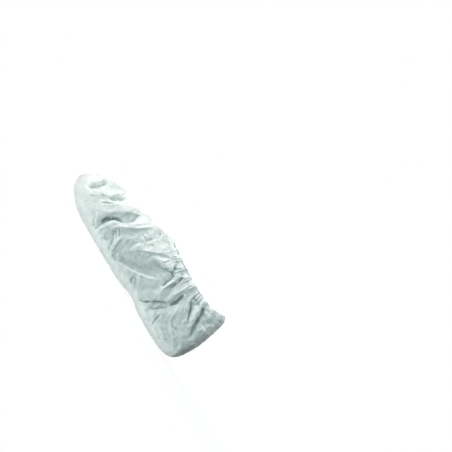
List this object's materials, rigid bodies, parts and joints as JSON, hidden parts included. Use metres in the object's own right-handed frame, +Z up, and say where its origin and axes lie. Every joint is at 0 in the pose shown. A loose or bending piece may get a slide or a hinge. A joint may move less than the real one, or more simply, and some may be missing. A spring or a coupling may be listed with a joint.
{
  "type": "shoe cover",
  "caption": "Disposable pull-on shoe cover of thin white nonwoven cloth with a gathered elastic ankle hem, shown in its worn form.",
  "frame": {"origin": "inside of the sole, under the middle of the ankle opening", "axes": "+Z up through the opening, +Y towards the heel, -Y towards the toe, +X to the side that the picture shows"},
  "size_m": [0.1231, 0.3117, 0.111],
  "materials": {
    "cloth": "white flash-spun polyethylene nonwoven, papery and softly creased",
    "hem": "the same nonwoven, folded over a narrow elastic and puckered"
  },
  "bodies": {
    "root": {"left_panel": "cloth", "right_panel": "cloth", "elastic_hem": "hem"}
  },
  "joints": []
}
